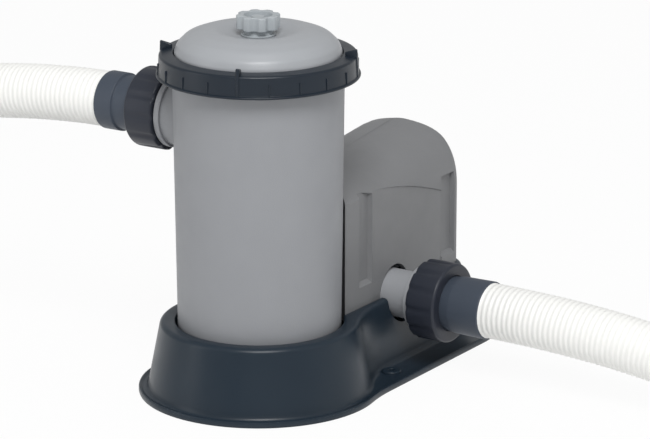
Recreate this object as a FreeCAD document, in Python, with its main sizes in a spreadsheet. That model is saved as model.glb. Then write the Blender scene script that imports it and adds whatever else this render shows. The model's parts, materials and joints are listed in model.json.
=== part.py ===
import FreeCAD, Part
import Sketcher
import math
import os

# Above-ground pool filter pump. A filter tank and a pump motor stand side by side on
# one moulded base, and a hose leaves from a port on each side. Sizes are millimetres,
# +X runs from the tank to the motor and +Z is up. The origin lies on the floor, in the
# middle of the base's length and half way between the outer faces of the union nuts.

SIZES = {
    # places of the main axes
    "tank_x": -72.75,
    "motor_x": 73.25,
    "outlet_x": 43.25,
    "inlet_z": 213.3,
    "outlet_z": 57.0,
    "duct_z": 26.3,
    # base, measured from the tank's axis
    "flange_r": 94.5,
    "flange_thick": 4.0,
    "flange_half": 85.0,
    "flange_end": 240.0,
    "flange_corner": 45.0,
    "foot_r": 86.0,
    "rim_r": 77.0,
    "rim_z": 57.6,
    "tail_foot_half": 60.5,
    "tail_rim_half": 57.0,
    "tail_foot_end": 234.0,
    "tail_rim_end": 226.0,
    "tail_corner": 25.0,
    "waist_round": 20.0,
    "rim_round": 3.5,
    "base_wall": 3.0,
    "floor_low": 9.0,
    "floor_top": 12.0,
    "well_r": 65.6,
    "notch_r": 19.5,
    "hole_x": 80.0,
    "hole_y": 71.0,
    "hole_r": 2.75,
    "boss_r": 7.5,
    "boss_high": 2.0,
    # filter tank and its port
    "tank_foot_r": 62.9,
    "tank_top_r": 65.0,
    "tank_wall": 3.0,
    "tank_floor": 16.0,
    "collar_r": 69.5,
    "collar_low": 254.0,
    "tank_top": 262.3,
    "port_r": 26.5,
    "port_ring_r": 28.5,
    "port_ring_low": 74.0,
    "thread_low": 79.0,
    "thread_high": 98.0,
    "thread_r": 24.0,
    "bore_r": 19.5,
    "duct_boss_r": 14.0,
    # lid
    "lid_rim_r": 69.3,
    "lid_rim_low": 262.5,
    "lid_rim_top": 266.0,
    "lid_plug_r": 61.6,
    "lid_plug_low": 251.0,
    "dome_r": 64.1,
    "dome_side": 272.0,
    "dome_top": 290.0,
    "dome_wall": 3.0,
    "dish_r": 26.0,
    "dish_floor_r": 19.0,
    "dish_floor": 284.0,
    "vent_boss_r": 10.0,
    "vent_r": 5.0,
    "fit": 0.06,
    # lock ring
    "ring_bore_r": 70.0,
    "ring_body_r": 74.1,
    "ring_lip_r": 78.2,
    "ring_low": 252.8,
    "ring_lip_top": 255.4,
    "ring_top": 270.1,
    "ring_mouth_r": 64.9,
    "rib_count": 20.0,
    "rib_wide": 1.8,
    "lug_count": 4.0,
    "lug_wide": 6.0,
    "ring_turn": 22.0,
    "seal_thick": 1.3,
    "seal_z": 255.7,
    "groove_deep": 2.6,
    # vent knob
    "knob_r": 16.8,
    "knob_low": 289.0,
    "knob_top": 300.0,
    "stem_low": 262.0,
    "knob_neck_r": 8.0,
    "knob_lobes": 8.0,
    # filter cartridge
    "pleat_r": 52.0,
    "pleat_root_r": 31.0,
    "core_r": 29.0,
    "core_bore_r": 26.5,
    "cap_r": 53.0,
    "cap_high": 6.0,
    "cartridge_low": 17.0,
    "cartridge_high": 203.0,
    "pleat_count": 40.0,
    # motor cover, measured from the tank's axis
    "cover_half": 50.0,
    "cover_end": 219.0,
    "cover_low": 50.0,
    "cover_top": 172.0,
    "cover_arch": 45.0,
    "gland_z": 84.0,
    "cover_corner": 13.0,
    "cover_wall": 3.0,
    "cover_start": 30.0,
    "cover_gap": 0.3,
    "tank_gap_r": 67.0,
    "flute_r": 12.0,
    "flute_deep": 1.8,
    # pump
    "casing_r": 40.0,
    "casing_low": 38.6,
    "casing_top": 76.0,
    "casing_flange_r": 46.0,
    "casing_flange_low": 72.0,
    "chamber_r": 36.5,
    "chamber_low": 42.0,
    "pipe_r": 17.5,
    "pipe_bore_r": 14.5,
    "duct_r": 11.0,
    "duct_bore_r": 9.0,
    "plate_top": 82.0,
    "seal_r": 9.0,
    "shaft_r": 5.0,
    "shaft_low": 47.0,
    "shaft_top": 155.0,
    "impeller_r": 33.0,
    "impeller_top": 67.0,
    # motor
    "frame_r": 38.0,
    "frame_wall": 2.5,
    "frame_top": 138.0,
    "stator_bore_r": 21.5,
    "rotor_r": 21.0,
    "stack_low": 93.0,
    "stack_top": 129.0,
    "bearing_r": 11.0,
    "bearing_high": 6.0,
    "fan_r": 28.0,
    "fan_z": 145.0,
    # hose fittings, measured along the hose from the port's end face
    "nut_r": 31.5,
    "nut_back": -18.5,
    "nut_front": 5.5,
    "nut_thread_r": 24.3,
    "nut_recess_r": 24.6,
    "nut_mouth_r": 21.9,
    "nut_lobes": 12.0,
    "cuff_flange_r": 23.9,
    "cuff_neck_r": 21.3,
    "cuff_r": 23.0,
    "cuff_long": 42.0,
    "hose_r": 22.0,
    "hose_bore_r": 19.5,
}

# Hand-laid routes of the two hoses' centre lines, from the near cuff to the far one.
INLET_ROUTE = [
    (-72.75, 140.0, 213.3),
    (-72.75, 200.0, 213.3),
    (-73.5, 342.0, 190.0),
    (-158.0, 459.0, 142.0),
    (-295.0, 503.0, 96.0),
    (-432.0, 459.0, 48.0),
    (-516.0, 342.0, 25.0),
    (-513.0, 196.0, 22.4),
    (-519.0, 62.0, 24.5),
    (-514.0, -62.0, 30.3),
]
OUTLET_ROUTE = [
    (43.25, -140.0, 57.0),
    (43.25, -236.0, 57.0),
    (42.5, -376.0, 33.0),
    (-42.0, -500.0, 23.5),
    (-179.0, -546.0, 22.5),
    (-318.0, -515.0, 22.5),
    (-421.0, -426.0, 22.4),
    (-460.0, -311.0, 22.4),
    (-451.0, -198.0, 25.6),
    (-421.0, -102.0, 30.4),
]

doc = FreeCAD.newDocument("PoolPump")
sheet = doc.addObject("Spreadsheet::Sheet", "Sizes")
for row, (alias, amount) in enumerate(SIZES.items(), start=1):
    sheet.set("A%d" % row, alias)
    sheet.set("B%d" % row, str(amount))
    sheet.setAlias("B%d" % row, alias)
doc.recompute()

# places of the motor cover's screw posts, measured from the tank's axis
COVER_POSTS = [("86", "44"), ("86", "-44"), ("204", "44"), ("204", "-44")]

nodes = []


# ---- formulas: words of the sheet joined by " + ", " - " and "*" ----


def number(formula):
    """The value of a formula."""
    total = 0.0
    sign = 1.0
    for word in str(formula).split():
        if word in "+-":
            sign = 1.0 if word == "+" else -1.0
            continue
        product = 1.0
        for factor in word.split("*"):
            product *= SIZES[factor] if factor in SIZES else float(factor)
        total += sign * product
    return total


def linked(formula):
    """The same formula as an expression that reads the sheet."""
    words = []
    for word in str(formula).split():
        factors = ["Sizes." + f if f in SIZES else f for f in word.split("*")]
        words.append(" * ".join(factors))
    return " ".join(words)


def bind(thing, prop, formula):
    thing.setExpression(prop, linked(formula))


# ---- bodies, sketches and features ----


def node(thing, label):
    """Names a finished piece; it is written to a file of that name."""
    thing.Label = label
    nodes.append(thing)
    return thing


def new_body(name, x=None):
    body = doc.addObject("PartDesign::Body", name)
    if x:
        bind(body, "Placement.Base.x", x)
    return body


def new_sketch(body, role, up="0", aside="0", across="0"):
    """A sketch on an origin plane, lifted off it and shifted within it."""
    sketch = body.newObject("Sketcher::SketchObject", "Outline")
    plane = [f for f in body.Origin.OriginFeatures if f.Role == role][0]
    sketch.AttachmentSupport = [(plane, "")]
    sketch.MapMode = "FlatFace"
    bind(sketch, "AttachmentOffset.Base.x", aside)
    bind(sketch, "AttachmentOffset.Base.y", across)
    bind(sketch, "AttachmentOffset.Base.z", up)
    return sketch


def pin(sketch, line, point, x, y):
    """Fixes a point of the sketch at two formulas from its origin."""
    for kind, formula in (("DistanceX", x), ("DistanceY", y)):
        rule = Sketcher.Constraint(kind, -1, 1, line, point, number(formula))
        index = sketch.addConstraint(rule)
        bind(sketch, "Constraints[%d]" % index, formula)


def polygon(sketch, points):
    corners = [FreeCAD.Vector(number(x), number(y), 0) for x, y in points]
    first = sketch.GeometryCount
    for k, corner in enumerate(corners):
        following = corners[(k + 1) % len(corners)]
        sketch.addGeometry(Part.LineSegment(corner, following), False)
    for k, (x, y) in enumerate(points):
        before = first + (k - 1) % len(points)
        sketch.addConstraint(Sketcher.Constraint("Coincident", before, 2, first + k, 1))
        pin(sketch, first + k, 1, x, y)
    return sketch


def rectangle(sketch, low_x, high_x, low_y, high_y):
    return polygon(sketch, [(low_x, low_y), (high_x, low_y), (high_x, high_y), (low_x, high_y)])


def circle(sketch, x, y, radius):
    centre = FreeCAD.Vector(number(x), number(y), 0)
    line = sketch.addGeometry(Part.Circle(centre, FreeCAD.Vector(0, 0, 1), number(radius)), False)
    pin(sketch, line, 3, x, y)
    index = sketch.addConstraint(Sketcher.Constraint("Radius", line, number(radius)))
    bind(sketch, "Constraints[%d]" % index, radius)
    return sketch


def feature(body, kind, name, profile):
    """Adds a feature and checks that it changed the volume the way its kind should."""
    before = body.Shape.Volume if body.Tip else 0.0
    made = body.newObject("PartDesign::" + kind, name)
    made.Profile = profile
    return made, before


def settle(body, made, before, cuts):
    body.Tip = made
    doc.recompute()
    after = body.Shape.Volume
    if (after >= before - 1e-6) if cuts else (after <= before + 1e-6):
        raise RuntimeError("%s in %s changed nothing" % (made.Name, body.Name))
    return made


def turned(body, sketch, axis="V_Axis", cuts=False):
    kind = "Groove" if cuts else "Revolution"
    made, before = feature(body, kind, kind, sketch)
    made.ReferenceAxis = (sketch, [axis])
    made.Angle = 360.0
    return settle(body, made, before, cuts)


def turned_polygon(body, points, cuts=False):
    """A solid of revolution about the body's own vertical axis: (radius, height) points."""
    return turned(body, polygon(new_sketch(body, "XZ_Plane"), points), cuts=cuts)


def pad(body, sketch, length, down=False):
    made, before = feature(body, "Pad", "Pad", sketch)
    bind(made, "Length", length)
    made.Reversed = down
    return settle(body, made, before, False)


def pocket(body, sketch, length, up=False, both=False):
    made, before = feature(body, "Pocket", "Pocket", sketch)
    bind(made, "Length", length)
    made.Reversed = up
    made.Midplane = both
    return settle(body, made, before, True)


def lofted(body, sections, cuts=False):
    kind = "SubtractiveLoft" if cuts else "AdditiveLoft"
    made, before = feature(body, kind, kind, sections[0])
    made.Sections = sections[1:]
    made.Ruled = True
    return settle(body, made, before, cuts)


def around(body, made, count):
    """Repeats a feature round the body's vertical axis."""
    pattern = body.newObject("PartDesign::PolarPattern", "PolarPattern")
    pattern.Originals = [made]
    axis = [f for f in body.Origin.OriginFeatures if f.Role == "Z_Axis"][0]
    pattern.Axis = (axis, [""])
    pattern.Angle = 360.0
    bind(pattern, "Occurrences", count)
    body.Tip = pattern
    doc.recompute()
    return pattern


def rounded(body, radius, wanted):
    """Fillets the edges that the test picks out."""
    base = body.Tip
    names = ["Edge%d" % (k + 1) for k, e in enumerate(base.Shape.Edges) if wanted(e)]
    if not names:
        raise RuntimeError("no edge to round in " + body.Name)
    fillet = body.newObject("PartDesign::Fillet", "Fillet")
    fillet.Base = (base, names)
    bind(fillet, "Radius", radius)
    body.Tip = fillet
    doc.recompute()
    if fillet.State and "Invalid" in fillet.State or fillet.Shape.isNull():
        raise RuntimeError("fillet failed in " + body.Name)
    return fillet


def on_circle(radius, height):
    """A test for full or part circles of a radius at a height, about the vertical axis."""

    def wanted(edge):
        curve = edge.Curve
        if not isinstance(curve, Part.Circle) or abs(curve.Radius - number(radius)) > 0.01:
            return False
        return abs(edge.CenterOfMass.z - number(height)) < 0.01 and abs(abs(curve.Axis.z) - 1) < 1e-6

    return wanted


def at_height(height):
    def wanted(edge):
        box = edge.BoundBox
        return abs(box.ZMin - number(height)) < 0.01 and abs(box.ZMax - number(height)) < 0.01

    return wanted


def standing(x, y):
    """A test for edges that rise at about this place."""

    def wanted(edge):
        box = edge.BoundBox
        near = abs(box.Center.x - number(x)) < 6.0 and abs(abs(box.Center.y) - number(y)) < 6.0
        return near and box.ZLength > 2.0

    return wanted


def ring(name, inner, outer, low, high, x=None):
    """A plain round ring, or a disc where the inner radius is zero."""
    body = new_body(name, x)
    turned_polygon(body, [(inner, low), (outer, low), (outer, high), (inner, high)])
    return node(body, name)


def o_ring(name, middle, thick, height, x=None):
    """A rubber ring of round section."""
    body = new_body(name, x)
    turned(body, circle(new_sketch(body, "XZ_Plane"), middle, height, thick))
    return node(body, name)


def screws(name, places, x, shank, shank_low, shank_high, head, head_low, head_high):
    """A group of identical screws that stand upright at (x, y) formulas."""
    body = doc.addObject("Part::Compound", name)
    links = []
    for px, py in places:
        one = []
        for radius, low, high in ((shank, shank_low, shank_high), (head, head_low, head_high)):
            rod = doc.addObject("Part::Cylinder", name + "_part")
            bind(rod, "Radius", radius)
            rod.Height = number(high) - number(low)
            bind(rod, "Placement.Base.x", x + (" - " + px[1:] if px.startswith("-") else " + " + px))
            bind(rod, "Placement.Base.y", py)
            bind(rod, "Placement.Base.z", low)
            one.append(rod)
        screw = doc.addObject("Part::MultiFuse", name + "_one")
        screw.Shapes = one
        links.append(screw)
    body.Links = links
    return node(body, name)


# ---- base ----


def build_base():
    """An inverted tray: sloping outer wall, round well for the tank, deep tail for the pump."""
    body = new_body("base", "tank_x")
    outline = [("0", "0"), ("foot_r", "0"), ("foot_r", "flange_thick"), ("rim_r", "rim_z"), ("0", "rim_z")]
    turned_polygon(body, outline)
    plane = new_sketch(body, "XY_Plane")
    low = rectangle(plane, "0", "tail_foot_end", "-1*tail_foot_half", "tail_foot_half")
    plane = new_sketch(body, "XY_Plane", "rim_z")
    high = rectangle(plane, "0", "tail_rim_end", "-1*tail_rim_half", "tail_rim_half")
    lofted(body, [low, high])
    rounded(body, "tail_corner", standing("230", "58.7"))
    rounded(body, "waist_round", lambda e: e.BoundBox.ZLength > 40 and 40 < e.BoundBox.Center.x < 70)
    rounded(body, "rim_round", at_height("rim_z"))
    slab = rectangle(new_sketch(body, "XY_Plane"), "0", "flange_end", "-1*flange_half", "flange_half")
    pad(body, slab, "flange_thick")
    rounded(body, "flange_corner", lambda e: e.BoundBox.XMin > 239 and e.BoundBox.ZLength > 3)
    pad(body, circle(new_sketch(body, "XY_Plane"), "0", "0", "flange_r"), "flange_thick")
    # hollow from below
    ceiling = "rim_z - base_wall"
    hollow = [("0", "-1"), ("foot_r - base_wall", "-1"), ("rim_r - base_wall", ceiling), ("0", ceiling)]
    turned_polygon(body, hollow, cuts=True)
    sections = []
    for height, part in (("-1", "tail_foot"), (ceiling, "tail_rim")):
        plane = new_sketch(body, "XY_Plane", height)
        end = part + "_end - base_wall - 3"
        half = part + "_half - base_wall"
        sections.append(rectangle(plane, "0", end, "-1*" + half.replace("-", "+"), half))
    lofted(body, sections, cuts=True)
    # inner walls and floor, then the well and the pump's chamber from above
    tub = circle(new_sketch(body, "XY_Plane", "floor_low"), "0", "0", "well_r + base_wall")
    pad(body, tub, "rim_z - floor_low")
    half = "cover_half + cover_gap + base_wall"
    end = "cover_end + cover_gap + base_wall"
    plane = new_sketch(body, "XY_Plane", "floor_low")
    block = rectangle(plane, "cover_start", end, "-1*cover_half - cover_gap - base_wall", half)
    pad(body, block, "rim_z - floor_low")
    plane = new_sketch(body, "XY_Plane", "floor_low")
    saddle = rectangle(plane, "hole_x + 12", "hole_x + 60", "-1*tail_rim_half", "-1*cover_half")
    pad(body, saddle, "rim_z - floor_low")
    opening = circle(new_sketch(body, "XY_Plane", "floor_top"), "0", "0", "well_r")
    pocket(body, opening, "rim_z", up=True)
    plane = new_sketch(body, "XY_Plane", "floor_top")
    half = "cover_half + cover_gap"
    chamber = rectangle(plane, "cover_start", "cover_end + cover_gap", "-1*cover_half - cover_gap", half)
    pocket(body, chamber, "rim_z", up=True)
    # mounting screws: a bore in a raised boss on each side
    for side in ("", "-1*"):
        boss = circle(new_sketch(body, "XY_Plane"), "hole_x", side + "hole_y", "boss_r")
        pad(body, boss, "flange_thick + boss_high")
        hole = circle(new_sketch(body, "XY_Plane"), "hole_x", side + "hole_y", "hole_r")
        pocket(body, hole, "20", both=True)
    # half-round notch that the outlet pipe passes through
    notch = circle(new_sketch(body, "XZ_Plane", "40"), "outlet_x - tank_x", "outlet_z", "notch_r")
    pocket(body, notch, "60", up=True)
    return node(body, "base")


# ---- filter tank and lid ----


def revolved_across(body, points, height, cuts=False):
    """Turns (along Y, radius) points about a horizontal axis at a height."""
    return turned(body, polygon(new_sketch(body, "YZ_Plane", across=height), points), "H_Axis", cuts)


def build_tank():
    """A slightly tapered pot with a collar for the lock ring and a side port with a thread spigot."""
    body = new_body("filter_tank", "tank_x")
    wall = [("0", "floor_top"), ("tank_foot_r", "floor_top"), ("tank_top_r", "collar_low")]
    wall += [("collar_r", "collar_low"), ("collar_r", "tank_top"), ("0", "tank_top")]
    turned_polygon(body, wall)
    port = [("40", "0"), ("40", "port_r"), ("port_ring_low", "port_r"), ("port_ring_low", "port_ring_r")]
    port += [("thread_low", "port_ring_r"), ("thread_low", "thread_r")]
    port += [("thread_high", "thread_r"), ("thread_high", "0")]
    revolved_across(body, port, "inlet_z")
    boss = [("40", "0"), ("40", "duct_boss_r"), ("72", "duct_boss_r"), ("72", "0")]
    turned(body, polygon(new_sketch(body, "XZ_Plane", across="duct_z"), boss), "H_Axis")
    inner_r = "tank_top_r - tank_wall"
    hollow = [("0", "tank_floor"), ("tank_foot_r - tank_wall", "tank_floor"), (inner_r, "collar_low")]
    turned_polygon(body, hollow + [(inner_r, "tank_top + 1"), ("0", "tank_top + 1")], cuts=True)
    bore = [("45", "0"), ("45", "bore_r"), ("thread_high + 1", "bore_r"), ("thread_high + 1", "0")]
    revolved_across(body, bore, "inlet_z", cuts=True)
    hole = [("55", "0"), ("55", "duct_r + 0.1"), ("73", "duct_r + 0.1"), ("73", "0")]
    turned(body, polygon(new_sketch(body, "XZ_Plane", across="duct_z"), hole), "H_Axis", cuts=True)
    return node(body, "filter_tank")


def build_lid():
    """A domed lid with a dished middle, a plug that enters the tank and a rim under the lock ring."""
    body = new_body("lid", "tank_x")
    outside = [("0", "lid_rim_low"), ("lid_rim_r", "lid_rim_low"), ("lid_rim_r", "lid_rim_top")]
    outside += [("dome_r", "lid_rim_top"), ("dome_r", "dome_side"), ("dome_r - 4", "dome_side + 7")]
    outside += [("dome_r - 13", "dome_side + 13"), ("dome_r - 24", "dome_side + 16.5")]
    outside += [("dish_r", "dome_top")]
    outside += [("dish_floor_r", "dish_floor"), ("0", "dish_floor")]
    turned_polygon(body, outside)
    plug = rectangle(new_sketch(body, "XZ_Plane"), "0", "lid_plug_r", "lid_plug_low", "lid_rim_low")
    turned(body, plug)
    inner_r = "lid_plug_r - dome_wall - 2"
    under = [("0", "lid_plug_low - 1"), (inner_r, "lid_plug_low - 1"), (inner_r, "dome_side")]
    under += [("dome_r - 15", "dome_side + 9"), ("dish_r", "dome_top - dome_wall")]
    under += [("dish_floor_r", "dish_floor - dome_wall"), ("0", "dish_floor - dome_wall")]
    turned_polygon(body, under, cuts=True)
    boss = circle(new_sketch(body, "XY_Plane", "dish_floor - 10"), "0", "0", "vent_boss_r")
    pad(body, boss, "10")
    hole = circle(new_sketch(body, "XY_Plane", "dish_floor - 12"), "0", "0", "vent_r + fit")
    pocket(body, hole, "20", up=True)
    bottom = "lid_plug_r - groove_deep"
    low = "seal_z - seal_thick - 0.1"
    high = "seal_z + seal_thick + 0.1"
    groove = [(bottom, low), ("lid_plug_r + 1", low), ("lid_plug_r + 1", high), (bottom, high)]
    turned_polygon(body, groove, cuts=True)
    return node(body, "lid")


def build_lock_ring():
    """The threaded ring that holds the lid down, with grip ribs and four taller lugs."""
    body = new_body("lock_ring", "tank_x")
    section = [("ring_bore_r", "ring_low"), ("ring_lip_r", "ring_low"), ("ring_lip_r", "ring_lip_top")]
    section += [("ring_body_r", "ring_lip_top"), ("ring_body_r", "ring_top"), ("ring_mouth_r", "ring_top")]
    section += [("ring_mouth_r", "lid_rim_top + cover_gap"), ("ring_bore_r", "lid_rim_top + cover_gap")]
    turned_polygon(body, section)
    foot = "ring_lip_top - 1"
    plane = new_sketch(body, "XY_Plane", foot)
    rib = rectangle(plane, "ring_body_r - 1", "ring_body_r + 2", "-0.5*rib_wide", "0.5*rib_wide")
    around(body, pad(body, rib, "ring_top - ring_lip_top"), "rib_count")
    plane = new_sketch(body, "XY_Plane", foot)
    lug = rectangle(plane, "ring_body_r - 2", "ring_body_r + 3.6", "-0.5*lug_wide", "0.5*lug_wide")
    around(body, pad(body, lug, "ring_top - ring_lip_top + 4"), "lug_count")
    body.Placement.Rotation = FreeCAD.Rotation(FreeCAD.Vector(0, 0, 1), number("ring_turn"))
    return node(body, "lock_ring")


def build_vent():
    """The air vent: a lobed knob on a screw that seals against the bottom of the dish."""
    body = new_body("vent_knob", "tank_x")
    neck_low = "dish_floor + 2.6"
    shape = [("vent_r", neck_low), ("knob_neck_r", neck_low), ("knob_neck_r", "knob_low")]
    shape += [("knob_r", "knob_low"), ("knob_r", "knob_top"), ("vent_r", "knob_top")]
    turned_polygon(body, shape)
    dent = circle(new_sketch(body, "XY_Plane", "knob_low - 1"), "knob_r + 2.6", "0", "4.6")
    around(body, pocket(body, dent, "20", up=True), "knob_lobes")
    node(body, "vent_knob")
    stem = new_body("vent_screw", "tank_x")
    stem_top = "knob_top - 1.5"
    shape = [("0", "stem_low"), ("vent_r - 2", "stem_low"), ("vent_r", "stem_low + 3")]
    shape += [("vent_r", stem_top), ("0", stem_top)]
    turned_polygon(stem, shape)
    node(stem, "vent_screw")
    o_ring("vent_seal", "vent_r + 1.3", "1.25", "dish_floor + 1.3", "tank_x")


def build_cartridge():
    """Pleated filter cartridge between two end caps, round a slotted core tube."""
    low = "cartridge_low"
    high = low + " + cartridge_high"
    for name, start in (("cartridge_bottom_cap", low), ("cartridge_top_cap", high + " - cap_high")):
        ring(name, "core_bore_r", "cap_r", start, start + " + cap_high", "tank_x")
    core = new_body("cartridge_core", "tank_x")
    inner_low = low + " + cap_high"
    inner_high = high + " - cap_high"
    tube = rectangle(new_sketch(core, "XZ_Plane"), "core_bore_r", "core_r", inner_low, inner_high)
    turned(core, tube)
    for start in ("35", "97", "159"):
        slot = rectangle(new_sketch(core, "XY_Plane", start), "core_bore_r - 2", "core_r + 2", "-4", "4")
        around(core, pocket(core, slot, "46", up=True), "8")
    node(core, "cartridge_core")
    folds = int(SIZES["pleat_count"])
    rim = []
    for k in range(2 * folds):
        radius = SIZES["pleat_r"] if k % 2 else SIZES["pleat_root_r"]
        turn = math.pi * k / folds
        rim.append(FreeCAD.Vector(radius * math.cos(turn), radius * math.sin(turn), number(inner_low)))
    height = number(inner_high) - number(inner_low)
    star = Part.Face(Part.makePolygon(rim + rim[:1])).extrude(FreeCAD.Vector(0, 0, height))
    bore = Part.makeCylinder(SIZES["core_r"], height, FreeCAD.Vector(0, 0, number(inner_low)))
    pleats = doc.addObject("Part::Feature", "cartridge_pleats")
    pleats.Shape = star.cut(bore)
    pleats.Placement = FreeCAD.Placement(FreeCAD.Vector(SIZES["tank_x"], 0, 0), FreeCAD.Rotation())
    node(pleats, "cartridge_pleats")


# ---- pump and motor, built round the motor's upright axis ----


def build_casing():
    """Volute casing whose outlet pipe leaves tangentially, level, towards -Y."""
    body = new_body("pump_casing", "motor_x")
    shell = [("0", "casing_low"), ("casing_r", "casing_low"), ("casing_r", "casing_flange_low")]
    shell += [("casing_flange_r", "casing_flange_low"), ("casing_flange_r", "casing_top")]
    shell += [("0", "casing_top")]
    turned_polygon(body, shell)
    aside = "outlet_x - motor_x"
    pipe = [("0", "0"), ("0", "pipe_r"), ("port_ring_low", "pipe_r"), ("port_ring_low", "port_ring_r - 3")]
    pipe += [("thread_low", "port_ring_r - 3"), ("thread_low", "thread_r")]
    pipe += [("thread_high", "thread_r"), ("thread_high", "0")]
    backwards = [("-1*" + y if y != "0" else "0", r) for y, r in pipe]
    turned(body, polygon(new_sketch(body, "YZ_Plane", up=aside, across="outlet_z"), backwards), "H_Axis")
    for x, y in (("36", "0"), ("-18", "31"), ("-18", "-31")):
        post = circle(new_sketch(body, "XY_Plane", "floor_top"), x, y, "5.5")
        pad(body, post, "casing_low - floor_top + 1")
    chamber = rectangle(new_sketch(body, "XZ_Plane"), "0", "chamber_r", "chamber_low", "casing_top + 1")
    turned(body, chamber, cuts=True)
    mouth = "-1*thread_high - 1"
    plane = new_sketch(body, "YZ_Plane", up=aside, across="outlet_z")
    bore = polygon(plane, [("-1", "0"), ("-1", "pipe_bore_r"), (mouth, "pipe_bore_r"), (mouth, "0")])
    turned(body, bore, "H_Axis", cuts=True)
    eye = circle(new_sketch(body, "XY_Plane", "casing_low - 1"), "0", "0", "duct_r + 0.1")
    pocket(body, eye, "10", up=True)
    return node(body, "pump_casing")


def build_duct():
    """Elbow from the foot of the tank to the eye of the impeller."""
    body = new_body("suction_duct", "motor_x")
    start = "tank_x - motor_x + 61"
    level = [(start, "0"), (start, "duct_r"), ("duct_r + 1", "duct_r"), ("duct_r + 1", "0")]
    turned(body, polygon(new_sketch(body, "XZ_Plane", across="duct_z"), level), "H_Axis")
    turned(body, rectangle(new_sketch(body, "XZ_Plane"), "0", "duct_r", "duct_z", "chamber_low - 0.2"))
    end = start + " - 1"
    inside = [(end, "0"), (end, "duct_bore_r"), ("duct_bore_r", "duct_bore_r"), ("duct_bore_r", "0")]
    turned(body, polygon(new_sketch(body, "XZ_Plane", across="duct_z"), inside), "H_Axis", cuts=True)
    upright = rectangle(new_sketch(body, "XZ_Plane"), "0", "duct_bore_r", "duct_z", "chamber_low")
    turned(body, upright, cuts=True)
    return node(body, "suction_duct")


def build_seal_plate():
    """Closes the casing from above and carries the motor frame, the lower bearing and the seal."""
    body = new_body("seal_plate", "motor_x")
    spigot_r = "chamber_r - 0.2"
    section = [("seal_r", "casing_flange_low"), (spigot_r, "casing_flange_low"), (spigot_r, "casing_top")]
    section += [("casing_flange_r", "casing_top"), ("casing_flange_r", "plate_top")]
    section += [("seal_r", "plate_top")]
    turned_polygon(body, section)
    return node(body, "seal_plate")


def build_rotor():
    """Shaft with the impeller at its foot, the magnet rotor half way and a fan at its head."""
    shaft = new_body("rotor_shaft", "motor_x")
    turned(shaft, rectangle(new_sketch(shaft, "XZ_Plane"), "0", "shaft_r", "shaft_low", "shaft_top"))
    node(shaft, "rotor_shaft")
    ring("rotor_core", "shaft_r", "rotor_r", "stack_low", "stack_top", "motor_x")
    impeller = new_body("impeller", "motor_x")
    hub = [("shaft_r", "shaft_low"), ("shaft_r", "impeller_top"), ("shaft_r + 4", "impeller_top")]
    hub += [("shaft_r + 4", "shaft_low + 3"), ("impeller_r", "shaft_low + 3"), ("impeller_r", "shaft_low")]
    turned_polygon(impeller, hub)
    blade = [("8", "-1"), ("20", "2"), ("impeller_r - 2", "9.5")]
    blade += [("impeller_r - 3", "12"), ("20", "4.4"), ("8", "1.4")]
    vane = polygon(new_sketch(impeller, "XY_Plane", "shaft_low + 2"), blade)
    around(impeller, pad(impeller, vane, "impeller_top - shaft_low - 2"), "6")
    node(impeller, "impeller")
    fan = new_body("cooling_fan", "motor_x")
    disc = [("shaft_r", "fan_z"), ("fan_r", "fan_z"), ("fan_r", "fan_z + 1.6")]
    disc += [("9", "fan_z + 1.6"), ("9", "fan_z + 7"), ("shaft_r", "fan_z + 7")]
    turned_polygon(fan, disc)
    blade = rectangle(new_sketch(fan, "XY_Plane", "fan_z + 1"), "8", "fan_r - 1", "-0.7", "0.7")
    around(fan, pad(fan, blade, "6"), "8")
    node(fan, "cooling_fan")


def build_motor():
    """Motor frame with the wound stator, two bearings, its end cap and the run capacitor."""
    frame = new_body("motor_frame", "motor_x")
    bore = "frame_r - frame_wall"
    turned(frame, rectangle(new_sketch(frame, "XZ_Plane"), bore, "frame_r", "plate_top", "frame_top"))
    node(frame, "motor_frame")
    ring("motor_end_cap", "bearing_r", "frame_r", "frame_top", "frame_top + 4", "motor_x")
    ring("stator_core", "stator_bore_r", bore, "stack_low", "stack_top", "motor_x")
    windings = doc.addObject("Part::Compound", "stator_windings")
    halves = []
    for low, high in (("stack_low - 6", "stack_low"), ("stack_top", "stack_top + 6")):
        half = new_body("winding", "motor_x")
        turned(half, rectangle(new_sketch(half, "XZ_Plane"), "stator_bore_r + 2", bore + " - 3", low, high))
        halves.append(half)
    windings.Links = halves
    node(windings, "stator_windings")
    shaft_hole = "shaft_r + fit"
    ring("lower_bearing", shaft_hole, "bearing_r", "plate_top", "plate_top + bearing_high", "motor_x")
    ring("upper_bearing", shaft_hole, "bearing_r", "frame_top - 2", "frame_top + 4", "motor_x")
    ring("shaft_seal", shaft_hole, "seal_r", "casing_flange_low", "plate_top", "motor_x")
    o_ring("casing_seal", "casing_flange_r - 7.4", "0.9", "casing_top", "motor_x")
    capacitor = new_body("run_capacitor", "motor_x")
    pad(capacitor, circle(new_sketch(capacitor, "XY_Plane", "86"), "-57", "0", "12"), "45")
    node(capacitor, "run_capacitor")
    bracket = new_body("capacitor_bracket", "motor_x")
    pad(bracket, rectangle(new_sketch(bracket, "XY_Plane", "plate_top"), "-69", "-38.2", "-10", "10"), "4")
    node(bracket, "capacitor_bracket")
    block = new_body("terminal_block", "motor_x")
    pad(block, rectangle(new_sketch(block, "XY_Plane", "92"), "38", "52", "-14", "14"), "18")
    node(block, "terminal_block")


# ---- motor cover ----


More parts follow.
